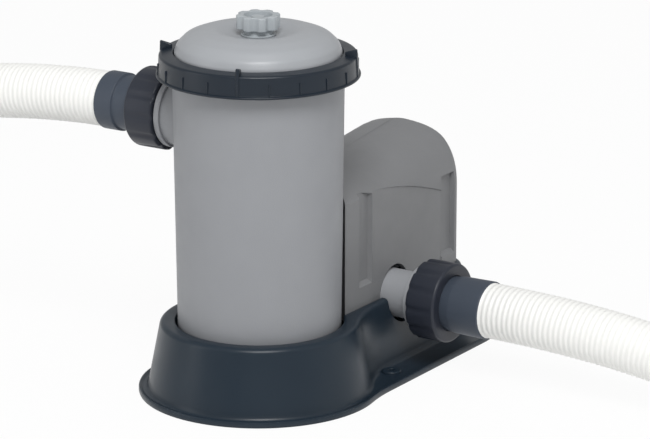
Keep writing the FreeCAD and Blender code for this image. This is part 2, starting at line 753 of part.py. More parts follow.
def cover_block(name, inset, gap_r):
    """The cover's outside, or its inside where the inset is the wall."""
    body = new_body(name, "tank_x")
    half = "cover_half" + inset
    end = "cover_end" + inset
    top = "cover_top" + inset
    low = "cover_low" if not inset else "cover_low - 1"
    plane = new_sketch(body, "XY_Plane", low)
    plan = rectangle(plane, "cover_start", end, "-1*" + half.replace("-", "+"), half)
    pad(body, plan, top + " - " + low.replace(" - ", " + "))
    rounded(body, "cover_corner" + inset, standing("217.5", "48.5"))
    arch = "cover_arch" + inset
    spring = "cover_top - cover_arch"
    for side in (1, -1):
        sketch = new_sketch(body, "YZ_Plane")
        corner_cut(sketch, side, half, spring, top, arch)
        pocket(body, sketch, "600", both=True)
    sketch = new_sketch(body, "XZ_Plane")
    corner_cut(sketch, 1, end, spring, top, arch)
    pocket(body, sketch, "600", both=True)
    pocket(body, circle(new_sketch(body, "XY_Plane"), "0", "0", gap_r), "300", up=True)
    return body


def corner_cut(sketch, side, reach, spring, top, arch):
    """The area outside a quarter circle that rounds a corner; one side or its mirror image."""
    edge = side * number(reach)
    low = number(spring)
    high = number(top)
    radius = number(arch)
    inner = edge - side * radius
    middle = FreeCAD.Vector(inner + side * radius * math.sqrt(0.5), low + radius * math.sqrt(0.5), 0)
    start = FreeCAD.Vector(edge, low, 0)
    finish = FreeCAD.Vector(inner, low + radius, 0)
    line = sketch.addGeometry(Part.Arc(start, middle, finish), False)
    rule = sketch.addConstraint(Sketcher.Constraint("Radius", line, radius))
    bind(sketch, "Constraints[%d]" % rule, arch)
    far = [finish, FreeCAD.Vector(inner, high + 9, 0), FreeCAD.Vector(edge + side * 9, high + 9, 0)]
    far += [FreeCAD.Vector(edge + side * 9, low, 0), start]
    for a, b in zip(far, far[1:]):
        sketch.addGeometry(Part.LineSegment(a, b), False)


def build_cover():
    """A one-piece shell that hugs the tank, with an arched top and two flutes in each side."""
    outside = cover_block("cover_outside", "", "tank_gap_r")
    for x, low in (("72", "76"), ("201", "68")):
        for side in ("cover_half + flute_r - flute_deep", "-1*cover_half - flute_r + flute_deep"):
            flute = circle(new_sketch(outside, "XY_Plane", low), x, side, "flute_r")
            pocket(outside, flute, "68", up=True)
    inside = cover_block("cover_inside", " - cover_wall", "tank_gap_r + cover_wall")
    notch = doc.addObject("Part::Cylinder", "cover_notch")
    bind(notch, "Radius", "notch_r")
    notch.Height = 60.0
    bind(notch, "Placement.Base.x", "outlet_x")
    bind(notch, "Placement.Base.y", "-40")
    bind(notch, "Placement.Base.z", "outlet_z")
    notch.Placement = FreeCAD.Placement(notch.Placement.Base, FreeCAD.Rotation(FreeCAD.Vector(1, 0, 0), 90))
    bore = doc.addObject("Part::Cylinder", "gland_hole")
    bore.Radius = 6.0
    bore.Height = 20.0
    start = FreeCAD.Vector(number("tank_x + cover_end - 10"), 0, number("gland_z"))
    bore.Placement = FreeCAD.Placement(start, FreeCAD.Rotation(FreeCAD.Vector(0, 1, 0), 90))
    tools = doc.addObject("Part::MultiFuse", "cover_tools")
    tools.Shapes = [inside, notch, bore]
    shell = doc.addObject("Part::Cut", "cover_shell")
    shell.Base = outside
    shell.Tool = tools
    posts = []
    for x, y in COVER_POSTS:
        post = doc.addObject("Part::Cylinder", "cover_post")
        post.Radius = 4.0
        bind(post, "Height", "rim_z + 12 - floor_top")
        bind(post, "Placement.Base.x", "tank_x + " + x)
        bind(post, "Placement.Base.y", y)
        bind(post, "Placement.Base.z", "floor_top")
        posts.append(post)
    whole = doc.addObject("Part::MultiFuse", "motor_cover")
    whole.Shapes = [shell] + posts
    return node(whole, "motor_cover")


def build_gland():
    """Inlet for the supply lead in the rear wall of the cover: body and clamping nut."""
    gland = [("3.6", "-6"), ("5.9", "-6"), ("5.9", "0.2"), ("9", "0.2"), ("9", "4"), ("6.6", "4")]
    gland += [("6.6", "12"), ("3.6", "12")]
    nut = [("6.7", "4.2"), ("8.6", "4.2"), ("8.6", "13"), ("5", "15.5"), ("3.6", "15.5"), ("3.6", "12.2")]
    nut += [("6.7", "12.2")]
    for name, section in (("cable_gland", gland), ("gland_nut", nut)):
        body = new_body(name)
        turned_polygon(body, section)
        rear = FreeCAD.Vector(number("tank_x + cover_end"), 0, number("gland_z"))
        body.Placement = FreeCAD.Placement(rear, FreeCAD.Rotation(FreeCAD.Vector(0, 1, 0), 90))
        node(body, name)


# ---- hose fittings, built along their own axis from the port's end face ----


def fitting_place(origin, along):
    return FreeCAD.Placement(origin, FreeCAD.Rotation(FreeCAD.Vector(0, 0, 1), along))


def build_nut(name, place):
    """Union nut: thread bore at the back, a recess for the cuff's flange and a lip in front."""
    body = new_body(name)
    lip = "nut_front - 1.7"
    section = [("nut_thread_r", "nut_back"), ("nut_r", "nut_back"), ("nut_r", "nut_front")]
    section += [("nut_mouth_r", "nut_front"), ("nut_mouth_r", lip), ("nut_recess_r", lip)]
    section += [("nut_recess_r", "0"), ("nut_thread_r", "0")]
    turned_polygon(body, section)
    rounded(body, "2", lambda e: on_circle("nut_r", "nut_front")(e) or on_circle("nut_r", "nut_back")(e))
    dent = circle(new_sketch(body, "XY_Plane", "nut_back - 1"), "nut_r + 3.4", "0", "5")
    around(body, pocket(body, dent, "30", up=True), "nut_lobes")
    body.Placement = place
    return node(body, name)


def build_cuff(name, place):
    """Tail piece that the nut draws against the port; the hose is moulded to its wide end."""
    body = new_body(name)
    section = [("bore_r", "0.6"), ("cuff_flange_r", "0.6"), ("cuff_flange_r", "3.4")]
    section += [("cuff_neck_r", "3.4"), ("cuff_neck_r", "26"), ("cuff_r", "29")]
    section += [("cuff_r", "cuff_long"), ("bore_r", "cuff_long")]
    turned_polygon(body, section)
    body.Placement = place
    return node(body, name)


def build_washer(name, place):
    """Flat rubber washer between the port's end face and the cuff."""
    body = new_body(name)
    turned(body, rectangle(new_sketch(body, "XZ_Plane"), "bore_r", "thread_r - 0.4", "0", "0.6"))
    body.Placement = place
    return node(body, name)


# ---- hoses ----


def hose_path(route):
    """Straight runs joined by tangent arcs, each as large as the runs beside it allow."""
    points = [FreeCAD.Vector(*p) for p in route]
    edges = []
    radii = []
    last = points[0]
    for before, corner, after in zip(points, points[1:], points[2:]):
        back = before - corner
        ahead = after - corner
        reach = 0.45 * min(back.Length, ahead.Length)
        turn = math.pi - back.getAngle(ahead)
        radius = reach / math.tan(turn / 2)
        back.normalize()
        ahead.normalize()
        start = corner + back * reach
        finish = corner + ahead * reach
        inward = back + ahead
        inward.normalize()
        middle = corner + inward * (radius / math.cos(turn / 2) - radius)
        edges.append(Part.LineSegment(last, start).toShape())
        edges.append(Part.Arc(start, middle, finish).toShape())
        radii.append(radius)
        last = finish
    edges.append(Part.LineSegment(last, points[-1]).toShape())
    return Part.Wire(edges), radii


def build_hose(name, route):
    """A plain tube along its route; returns the direction in which it ends."""
    path, radii = hose_path(route)
    start = FreeCAD.Vector(*route[0])
    ahead = FreeCAD.Vector(*route[1]) - start
    solids = []
    for radius in (SIZES["hose_r"], SIZES["hose_bore_r"]):
        section = Part.Wire(Part.makeCircle(radius, start, ahead))
        solids.append(path.makePipeShell([section], True, False))
    hose = doc.addObject("Part::Feature", name)
    hose.Shape = solids[0].cut(solids[1])
    area = math.pi * (SIZES["hose_r"] ** 2 - SIZES["hose_bore_r"] ** 2)
    ratio = hose.Shape.Volume / (area * path.Length)
    print(name, "length", round(path.Length, 1), "volume ratio", round(ratio, 4))
    print(name, "radii", [round(r) for r in radii])
    node(hose, name)
    ahead = FreeCAD.Vector(*route[-1]) - FreeCAD.Vector(*route[-2])
    return ahead.normalize()


def build_hose_side(name, port_face, along, route):
    """Everything from a port outwards: washer, nut, cuff, hose, and the same fitting at its far end."""
    near = fitting_place(port_face, along)
    build_washer(name + "_washer", near)
    build_nut(name + "_nut", near)
    build_cuff(name + "_cuff", near)
    direction = build_hose(name + "_hose", route)
    end = FreeCAD.Vector(*route[-1]) + direction * SIZES["cuff_long"]
    far = fitting_place(end, direction * -1)
    build_cuff(name + "_end_cuff", far)
    build_nut(name + "_end_nut", far)
    mouth = end + direction * (-SIZES["nut_back"] / 2)
    for word, place in (("face", end), ("middle of the mouth", mouth), ("direction", direction)):
        print(name, "far fitting", word, [round(v, 5) for v in place])


# ---- the whole pump ----

build_base()
build_tank()
build_lid()
o_ring("lid_seal", "lid_plug_r - 1.25", "seal_thick", "seal_z", "tank_x")
build_lock_ring()
build_vent()
build_cartridge()
build_casing()
build_duct()
o_ring("duct_seal", "duct_r + 0.65", "0.6", "casing_low - 0.65", "motor_x")
build_seal_plate()
build_rotor()
build_motor()
build_cover()
build_gland()
port_y = SIZES["thread_high"]
inlet_face = FreeCAD.Vector(SIZES["tank_x"], port_y, SIZES["inlet_z"])
outlet_face = FreeCAD.Vector(SIZES["outlet_x"], -port_y, SIZES["outlet_z"])
build_hose_side("inlet", inlet_face, FreeCAD.Vector(0, 1, 0), INLET_ROUTE)
build_hose_side("outlet", outlet_face, FreeCAD.Vector(0, -1, 0), OUTLET_ROUTE)

turns = [math.pi * k / 3 + 0.5 for k in range(6)]
casing_places = [("%.3f" % (42.4 * math.cos(a)), "%.3f" % (42.4 * math.sin(a))) for a in turns]
pump_places = [("36", "0"), ("-18", "31"), ("-18", "-31")]
tank_places = [("45", "0"), ("-30", "38"), ("-30", "-38")]
head_low = "floor_low - 2.4"
plate = "plate_top"
screws("casing_screws", casing_places, "motor_x", "1.6", "66", plate, "3.2", plate, plate + " + 2.4")
screws("pump_screws", pump_places, "motor_x", "1.6", "floor_low", "30", "3.4", head_low, "floor_low")
screws("cover_screws", COVER_POSTS, "tank_x", "1.5", "floor_low", "26", "3.2", head_low, "floor_low")
screws("tank_screws", tank_places, "tank_x", "1.6", "floor_low", "15", "3.6", head_low, "floor_low")

doc.recompute()
for thing in doc.Objects:
    if "Invalid" in thing.State or "Error" in thing.State:
        raise RuntimeError("%s failed: %s" % (thing.Label, thing.State))
os.makedirs("parts", exist_ok=True)
for thing in nodes:
    if thing.Shape.isNull() or not thing.Shape.isValid() or not thing.Shape.Solids:
        raise RuntimeError("%s has no valid shape" % thing.Label)
    thing.Shape.exportStep("parts/%s.step" % thing.Label)
box = FreeCAD.BoundBox()
for thing in nodes:
    if not any(word in thing.Label for word in ("_hose", "_cuff", "_end_")):
        box.add(thing.Shape.optimalBoundingBox())
print(len(nodes), "nodes; box without the hoses", box)
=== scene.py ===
import json
import math

import bmesh
import bpy
from mathutils import Matrix, Vector


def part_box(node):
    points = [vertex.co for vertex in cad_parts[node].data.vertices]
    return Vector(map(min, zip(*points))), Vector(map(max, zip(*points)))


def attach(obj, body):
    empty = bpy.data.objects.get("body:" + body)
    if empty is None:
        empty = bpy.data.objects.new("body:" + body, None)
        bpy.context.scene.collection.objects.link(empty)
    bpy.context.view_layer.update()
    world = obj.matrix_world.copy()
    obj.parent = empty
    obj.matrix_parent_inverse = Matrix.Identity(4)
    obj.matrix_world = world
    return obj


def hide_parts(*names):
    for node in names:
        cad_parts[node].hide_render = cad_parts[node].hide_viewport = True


# Pool pump: the visible shapes and finishes round the fixed CAD frame.
# Shapes are worked out in millimetres and scaled to metres when a piece is finished.
# A turned piece is a list of (radius, height, corner radius), in order round its section.

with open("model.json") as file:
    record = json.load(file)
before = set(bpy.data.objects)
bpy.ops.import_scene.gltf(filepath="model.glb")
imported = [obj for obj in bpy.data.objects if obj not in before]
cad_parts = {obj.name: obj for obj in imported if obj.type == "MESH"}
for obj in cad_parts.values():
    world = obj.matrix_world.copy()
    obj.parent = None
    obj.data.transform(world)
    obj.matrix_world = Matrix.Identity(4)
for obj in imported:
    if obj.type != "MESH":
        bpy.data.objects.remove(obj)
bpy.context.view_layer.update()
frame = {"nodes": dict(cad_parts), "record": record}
MM = 0.001


# ---- places taken from the frame ----


def middle(node):
    low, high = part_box(node)
    return (Vector(low) + Vector(high)) / 2 / MM


TANK = middle("lock_ring").x
MOTOR = middle("motor_frame").x
OUTLET = middle("outlet_washer").x
INLET_Z = middle("inlet_washer").z
OUTLET_Z = middle("outlet_washer").z
PORT_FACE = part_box("inlet_washer")[0][1] / MM

# Centre lines of the hoses, from the cuff at the port to the far cuff.
INLET_ROUTE = [
    (-0.07275, 0.14, 0.2133),
    (-0.07275, 0.2, 0.2133),
    (-0.0735, 0.342, 0.19),
    (-0.158, 0.459, 0.142),
    (-0.295, 0.503, 0.096),
    (-0.432, 0.459, 0.048),
    (-0.516, 0.342, 0.025),
    (-0.513, 0.196, 0.0224),
    (-0.519, 0.062, 0.0245),
    (-0.514, -0.062, 0.0303),
]
OUTLET_ROUTE = [
    (0.04325, -0.14, 0.057),
    (0.04325, -0.236, 0.057),
    (0.0425, -0.376, 0.033),
    (-0.042, -0.5, 0.0235),
    (-0.179, -0.546, 0.0225),
    (-0.318, -0.515, 0.0225),
    (-0.421, -0.426, 0.0224),
    (-0.46, -0.311, 0.0224),
    (-0.451, -0.198, 0.0256),
    (-0.421, -0.102, 0.0304),
]
HOSE_R = 22.0
CUFF_LONG = 42.0

# Radius of the clear way through the inlet port and the cuffs, and the outside and end of the
# spigots that the nuts hold.
BORE_R = 19.5
SPIGOT_R = 24.0
SPIGOT_END = 98.0


# ---- camera ----


CAMERA_PLACE = (-2.46715, -1.6106, 0.9933)
CAMERA_TILT = 73.48
CAMERA_HEADING = -57.08
CAMERA_LENS = 216.5
CAMERA_SENSOR = 36


def add_camera():
    camera = bpy.data.objects.new("camera", bpy.data.cameras.new("camera"))
    camera.location = CAMERA_PLACE
    camera.rotation_euler = (math.radians(CAMERA_TILT), 0, math.radians(CAMERA_HEADING))
    camera.data.lens = CAMERA_LENS
    camera.data.sensor_width = CAMERA_SENSOR
    bpy.context.collection.objects.link(camera)
    bpy.context.scene.camera = camera


# ---- shaping ----


def with_arcs(corners, steps=6):
    """An outline of (x, y, radius) corners, each with its arc in place of the sharp point."""
    line = []
    count = len(corners)
    for k, (x, y, radius) in enumerate(corners):
        here = Vector((x, y))
        if not radius:
            line.append(here)
            continue
        back = Vector(corners[k - 1][:2]) - here
        ahead = Vector(corners[(k + 1) % count][:2]) - here
        half = back.angle(ahead) / 2
        reach = min(radius / math.tan(half), 0.48 * back.length, 0.48 * ahead.length)
        size = reach * math.tan(half)
        inwards = (back.normalized() + ahead.normalized()).normalized()
        centre = here + inwards * (size / math.sin(half))
        start = here + back.normalized() * reach - centre
        finish = here + ahead.normalized() * reach - centre
        sweep = start.angle_signed(finish)
        for step in range(steps + 1):
            line.append(centre + Matrix.Rotation(-sweep * step / steps, 2) @ start)
    return line


def outward(bm):
    """Turns every face of a closed shell outwards."""
    bmesh.ops.recalc_face_normals(bm, faces=bm.faces)
    if bm.calc_volume(signed=True) < 0:
        bmesh.ops.reverse_faces(bm, faces=bm.faces)
    return bm


def turned(corners, steps=96):
    """Spins an outline of (radius, height, corner radius) about Z into a closed shell."""
    bm = bmesh.new()
    verts = [bm.verts.new((p.x, 0, p.y)) for p in with_arcs(corners)]
    edges = [bm.edges.new(pair) for pair in zip(verts, verts[1:])]
    if verts[0].co.x > 0 or verts[-1].co.x > 0:
        edges.append(bm.edges.new((verts[-1], verts[0])))
    bmesh.ops.spin(
        bm, geom=verts + edges, cent=(0, 0, 0), axis=(0, 0, 1), angle=2 * math.pi, steps=steps,
        use_merge=True,
    )
    bmesh.ops.remove_doubles(bm, verts=bm.verts, dist=1e-4)
    return outward(bm)


def wrapped(columns, rows, place):
    """A sheet of cells wrapped into a tube by place(column, row), with its ends filled."""
    bm = bmesh.new()
    bmesh.ops.create_grid(bm, x_segments=columns, y_segments=rows, size=0.5)
    for vert in bm.verts:
        column, row = round((vert.co.x + 0.5) * columns), round((vert.co.y + 0.5) * rows)
        vert.co = place(column % columns, row)
    bmesh.ops.remove_doubles(bm, verts=bm.verts, dist=1e-5)
    bmesh.ops.holes_fill(bm, edges=bm.edges, sides=0)
    return outward(bm)


def stacked(levels, bent=lambda x, y, z: (x, y, z)):
    """A closed shell through (outline, height) levels, with each point moved by bent(x, y, z)."""

    def place(column, row):
        outline, z = levels[row]
        return bent(*outline[column], z)

    return wrapped(len(levels[0][0]), len(levels) - 1, place)


def block(low, high):
    bm = bmesh.new()
    bmesh.ops.create_cube(bm, size=1)
    size = Vector(high) - Vector(low)
    bmesh.ops.scale(bm, vec=size, verts=bm.verts)
    bmesh.ops.translate(bm, vec=(Vector(low) + Vector(high)) / 2, verts=bm.verts)
    return bm


def rod(radius, low, high, steps=48):
    return turned([(0, low, 0), (radius, low, 0), (radius, high, 0), (0, high, 0)], steps)


def standing_at(x, y):
    return Matrix.Translation((x, y, 0))


def pointing(origin, direction):
    """The place of a piece whose own Z runs in a direction from an origin."""
    turn = Vector(direction).to_track_quat("Z", "Y").to_matrix().to_4x4()
    return Matrix.Translation(origin) @ turn


def put(bm, place):
    bmesh.ops.transform(bm, matrix=place, verts=bm.verts)
    return bm


def pipe_hole(radius, off):
    """A cutter round the outlet pipe, a little off its axis, in a piece centred on the tank."""
    axis = (OUTLET - TANK + off[0], 0, OUTLET_Z + off[1])
    return put(rod(radius, 40, 100, 64), pointing(axis, (0, -1, 0)))


def joined(*parts):
    """Several closed shells as one mesh."""
    whole = parts[0]
    for part in parts[1:]:
        loose = bpy.data.meshes.new("loose")
        part.to_mesh(loose)
        part.free()
        whole.from_mesh(loose)
        bpy.data.meshes.remove(loose)
    return whole


def round_array(bm, count, start=0.0):
    """Copies of a mesh spread evenly round Z."""
    copies = []
    for k in range(count):
        one = bm.copy()
        turn = start + 2 * math.pi * k / count
        bmesh.ops.rotate(one, verts=one.verts, matrix=Matrix.Rotation(turn, 3, "Z"))
        copies.append(one)
    bm.free()
    return joined(*copies)


def bevelled(bm, offset):
    bmesh.ops.bevel(
        bm, geom=bm.edges[:], offset=offset, segments=3, profile=0.5, affect="EDGES", material=-1
    )
    return bm


def new_object(name, bm):
    mesh = bpy.data.meshes.new(name)
    bm.to_mesh(mesh)
    bm.free()
    thing = bpy.data.objects.new(name, mesh)
    bpy.context.collection.objects.link(thing)
    return thing


def carved(bm, cutter, operation="DIFFERENCE"):
    """The mesh with another one cut out of it, or joined to it."""
    thing = new_object("work", bm)
    tool = new_object("tool", cutter)
    boolean = thing.modifiers.new("boolean", "BOOLEAN")
    boolean.object = tool
    boolean.operation = operation
    boolean.solver = "EXACT"
    bpy.context.view_layer.update()
    shaped = thing.evaluated_get(bpy.context.evaluated_depsgraph_get()).to_mesh()
    result = bmesh.new()
    result.from_mesh(shaped)
    for old in (thing, tool):
        mesh = old.data
        bpy.data.objects.remove(old)
        bpy.data.meshes.remove(mesh)
    bmesh.ops.dissolve_degenerate(result, dist=1e-4, edges=result.edges)
    return result


BEVEL_FROM = 35


def piece(name, bm, material, body, slot, *nodes, bevel=0.0, sharp=40):
    """Finishes a piece: metres, shading, finish, its body and the CAD nodes it stands for."""
    bmesh.ops.scale(bm, vec=(MM, MM, MM), verts=bm.verts)
    thing = new_object(name, bm)
    thing.data.polygons.foreach_set("use_smooth", [True] * len(thing.data.polygons))
    thing.data.set_sharp_from_angle(angle=math.radians(sharp))
    thing.data.materials.append(material)
    if bevel:
        edge = thing.modifiers.new("edges", "BEVEL")
        edge.width = bevel * MM
        edge.segments = 2
        edge.limit_method = "ANGLE"
        edge.angle_limit = math.radians(BEVEL_FROM)
        edge.harden_normals = True
    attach(thing, body)
    if nodes:
        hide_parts(*nodes)
    return thing


# ---- finishes ----


def group(name, inputs, outputs):
    """An empty shader node group with its sockets; returns the tree and its two ends."""
    tree = bpy.data.node_groups.new(name, "ShaderNodeTree")
    for label, default in inputs:
        kind = "NodeSocketColor" if isinstance(default, tuple) else "NodeSocketFloat"
        socket = tree.interface.new_socket(label, in_out="INPUT", socket_type=kind)
        socket.default_value = default
    for label, kind in outputs:
        tree.interface.new_socket(label, in_out="OUTPUT", socket_type=kind)
    return tree, tree.nodes.new("NodeGroupInput"), tree.nodes.new("NodeGroupOutput")


def noise(tree, place, scale, detail=3.0, rough=0.55):
    node = tree.nodes.new("ShaderNodeTexNoise")
    node.inputs["Scale"].default_value = scale
    node.inputs["Detail"].default_value = detail
    node.inputs["Roughness"].default_value = rough
    tree.links.new(place, node.inputs["Vector"])
    return node.outputs["Fac"]


def worked_out(tree, operation, *values):
    """The result of a Math node fed by sockets or plain numbers."""
    node = tree.nodes.new("ShaderNodeMath")
    node.operation = operation
    for socket, value in zip(node.inputs, values):
        if isinstance(value, float):
            socket.default_value = value
        else:
            tree.links.new(value, socket)
    return node.outputs[0]


def stretched(tree, value, low, high):
    """Maps 0.3 to 0.7 of a noise onto a range."""
    node = tree.nodes.new("ShaderNodeMapRange")
    node.inputs["From Min"].default_value = 0.3
    node.inputs["From Max"].default_value = 0.7
    for name, source in (("To Min", low), ("To Max", high)):
        if isinstance(source, float):
            node.inputs[name].default_value = source
        else:
            tree.links.new(source, node.inputs[name])
    tree.links.new(value, node.inputs["Value"])
    return node.outputs["Result"]


def moulding_group():
    """Moulded plastic: slow colour drift, a fine spark texture and slightly uneven gloss."""
    inputs = [("Color", (0.5, 0.5, 0.5, 1)), ("Drift", 0.06), ("Roughness", 0.4)]
    inputs += [("Texture", 0.2), ("Texture Scale", 1400.0)]
    outputs = [("Color", "NodeSocketColor"), ("Roughness", "NodeSocketFloat")]
    outputs += [("Normal", "NodeSocketVector")]
    tree, start, end = group("moulding", inputs, outputs)
    place = tree.nodes.new("ShaderNodeTexCoord").outputs["Object"]
    drift = noise(tree, place, 14.0)
    shade = tree.nodes.new("ShaderNodeHueSaturation")
    darkest = worked_out(tree, "SUBTRACT", 1.0, start.outputs["Drift"])
    tree.links.new(stretched(tree, drift, darkest, 1.0), shade.inputs["Value"])
    tree.links.new(start.outputs["Color"], shade.inputs["Color"])
    tree.links.new(shade.outputs["Color"], end.inputs["Color"])
    rub = noise(tree, place, 60.0)
    smooth = start.outputs["Roughness"]
    rough = worked_out(tree, "MULTIPLY_ADD", smooth, 1.15, 0.02)
    tree.links.new(stretched(tree, rub, smooth, rough), end.inputs["Roughness"])
    fine = tree.nodes.new("ShaderNodeTexNoise")
    fine.inputs["Detail"].default_value = 2.0
    tree.links.new(place, fine.inputs["Vector"])
    tree.links.new(start.outputs["Texture Scale"], fine.inputs["Scale"])
    bump = tree.nodes.new("ShaderNodeBump")
    bump.inputs["Distance"].default_value = 0.0003
    tree.links.new(fine.outputs["Fac"], bump.inputs["Height"])
    tree.links.new(start.outputs["Texture"], bump.inputs["Strength"])
    tree.links.new(bump.outputs["Normal"], end.inputs["Normal"])
    return tree


MOULDING = moulding_group()


def moulded(
    name, color, roughness, texture=0.2, scale=1400.0, drift=0.06, metallic=0.0, specular=0.5
):
    """A material of moulded, cast or painted stock."""
    material = bpy.data.materials.new(name)
    material.use_nodes = True
    tree = material.node_tree
    shader = tree.nodes["Principled BSDF"]
    stock = tree.nodes.new("ShaderNodeGroup")
    stock.node_tree = MOULDING
    stock.inputs["Color"].default_value = (*color, 1)
    stock.inputs["Drift"].default_value = drift
    stock.inputs["Roughness"].default_value = roughness
    stock.inputs["Texture"].default_value = texture
    stock.inputs["Texture Scale"].default_value = scale
    tree.links.new(stock.outputs["Color"], shader.inputs["Base Color"])
    tree.links.new(stock.outputs["Roughness"], shader.inputs["Roughness"])
    tree.links.new(stock.outputs["Normal"], shader.inputs["Normal"])
    shader.inputs["Metallic"].default_value = metallic
    shader.inputs["Specular IOR Level"].default_value = specular
    return material


def linear(step):
    """One colour value written in 0-255 steps, as the linear value a shader takes."""
    return step / 255 / 12.92 if step < 11 else ((step / 255 + 0.055) / 1.055) ** 2.4


def srgb(*steps):
    return tuple(linear(step) for step in steps)


FINISHES = {
    "base_plastic": moulded("base_gloss", srgb(31, 43, 54), 0.30, 0.08, specular=0.32),
    "dark_plastic": moulded("ring_gloss", srgb(27, 36, 46), 0.30, 0.10, specular=0.35),
    "nut_plastic": moulded("nut_satin", srgb(42, 46, 56), 0.38, 0.10, specular=0.35),
    "cuff_plastic": moulded("cuff_satin", srgb(64, 72, 84), 0.45, 0.12, specular=0.4),
    "tank_plastic": moulded("tank_satin", srgb(148, 150, 154), 0.50, 0.35),
    "lid_plastic": moulded("lid_satin", srgb(160, 163, 167), 0.34, 0.12),
    "cover_plastic": moulded("cover_satin", srgb(124, 125, 127), 0.50, 0.35),
    "knob_plastic": moulded("knob_satin", srgb(168, 174, 178), 0.36, 0.15),
    "hose_plastic": moulded("hose_white", srgb(245, 245, 242), 0.42, 0.05, drift=0.02),
    "seal_rubber": moulded("seal_rubber", (0.02, 0.02, 0.02), 0.65, 0.2),
    "filter_paper": moulded("filter_media", (0.85, 0.85, 0.83), 0.90, 0.5, 900.0, 0.04),
    "core_plastic": moulded("core_white", (0.80, 0.80, 0.78), 0.5),
    "cap_plastic": moulded("cap_blue", (0.10, 0.22, 0.42), 0.55),
    "frame_metal": moulded("frame_paint", (0.06, 0.06, 0.065), 0.40, 0.3, 900.0),
    "core_steel": moulded("core_steel", (0.35, 0.34, 0.33), 0.45, 0.3, 2200.0, metallic=1.0),
    "bright_steel": moulded("bright_steel", (0.60, 0.60, 0.60), 0.28, 0.1, metallic=1.0),
    "copper_wire": moulded("copper_wire", (0.60, 0.25, 0.10), 0.35, 0.6, 500.0, metallic=1.0),
    "capacitor_plastic": moulded("capacitor_white", (0.70, 0.70, 0.69), 0.5),
}

# A lighter copy of the tank plastic for the outlet pipe: painted light that makes up for the shade the
# pipe sits in.
PIPE_PAINTED_LIGHT_FINISH = moulded("pipe_satin_painted_light", srgb(157, 159, 163), 0.45, 0.2)


def finish_nodes():
    """Gives every CAD node the finish of its slot in the record."""
    for part in frame["record"]["subparts"]:
        thing = frame["nodes"][part["node"]]
        for holder in thing.material_slots:
            holder.material = FINISHES[part["material_slot"]]
        if not thing.material_slots:
            thing.data.materials.append(FINISHES[part["material_slot"]])


# ---- base ----


BASE_TOP = 57.6
BASE_LIP = 3.5
NOTCH_R = 22
NOTCH_OFF = (2.5, -1)
BOSS_X = 80
BOSS_Y = 71
FLOOR_SCREW_R = 2.75


def rounded_end(end, half, corner):
    """Half the plan of a straight end with a rounded corner, from its middle outwards."""
    side = [(end, (half - corner) * k / 5) for k in range(5)]
    for k in range(13):
        turn = math.radians(90 * k / 12)
        across = half - corner + corner * math.sin(turn)
        side.append((end - corner + corner * math.cos(turn), across))
    return side


def tray_outline(radius, half, end, corner, waist):
    """Plan of a round well of a radius with a tail of a half width, with fillets at the waist."""
    rise = math.asin((half + waist) / (radius + waist))
    centre = (radius + waist) * Vector((math.cos(rise), math.sin(rise)))
    side = rounded_end(end, half, corner)
    for k in range(1, 16):
        side.append((end - corner + (centre.x - end + corner) * k / 16, half))
    for k in range(9):
        turn = math.radians(-90) + (rise - math.radians(90)) * k / 8
        side.append((centre.x + waist * math.cos(turn), centre.y + waist * math.sin(turn)))
    for k in range(1, 49):
        turn = rise + (math.pi - rise) * k / 48
        side.append((radius * math.cos(turn), radius * math.sin(turn)))
    return side + [(x, -y) for x, y in side[-2:0:-1]]


def base_wall(z, grow=0.0):
    """Outline of the sloping wall at a height."""
    up = z / BASE_TOP
    radius = 88.2 - 11.2 * up + grow
    half = 63.5 - 6.5 * up + grow
    end = 234 - 8 * up + grow
    return tray_outline(radius, half, end, 25 + grow, 90 - grow), z


def flange(z, grow=0.0):
    """Outline of the foot that runs round the wall."""
    return tray_outline(94.4 + grow, 89.5 + grow, 239.9 + grow, 45 + grow, 150 - grow), z


def well(z, grow=0.0):
    """Outline of the opening that takes the tank and the cover."""
    return tray_outline(65.6 + grow, 50.3 + grow, 219.3 + grow, 13.3 + grow, 3), z


def build_base():
    levels = [well(9, 1), well(0, 1)]
    levels += [flange(0, -1.4), flange(0.4, -0.4), flange(1.4), flange(4.0), flange(4.9, -0.4)]
    levels += [flange(5.2, -1.2), flange(4.9, -2.0), flange(4.1, -2.8), flange(4, -3.4)]
    levels += [base_wall(4, 1.8), base_wall(4.6, 0.9), base_wall(6, 0.3), base_wall(9)]
    levels.append(base_wall(BASE_TOP - BASE_LIP))
    for k in range(1, 7):
        turn = math.radians(15 * k)
        z = BASE_TOP - BASE_LIP + BASE_LIP * math.sin(turn)
        levels.append(base_wall(z, -BASE_LIP + BASE_LIP * math.cos(turn)))
    levels += [well(BASE_TOP, 1.4), well(57.2, 0.4), well(56.2), well(12)]
    shell = carved(stacked(levels), pipe_hole(NOTCH_R, NOTCH_OFF))
    bosses = []
    for side in (1, -1):
        spot = standing_at(BOSS_X, side * BOSS_Y)
        shell = carved(shell, put(rod(FLOOR_SCREW_R, -5, 20), spot))
        ring = [(FLOOR_SCREW_R, 1, 0), (7.8, 1, 0), (7.5, 6, 1.0), (FLOOR_SCREW_R, 6, 0.6)]
        bosses.append(put(turned(ring, 40), spot))
    whole = put(joined(shell, *bosses), standing_at(TANK, 0))
    piece("base_moulding", whole, FINISHES["base_plastic"], "housing", "base_plastic", "base")


# ---- filter tank, lid, lock ring and vent ----


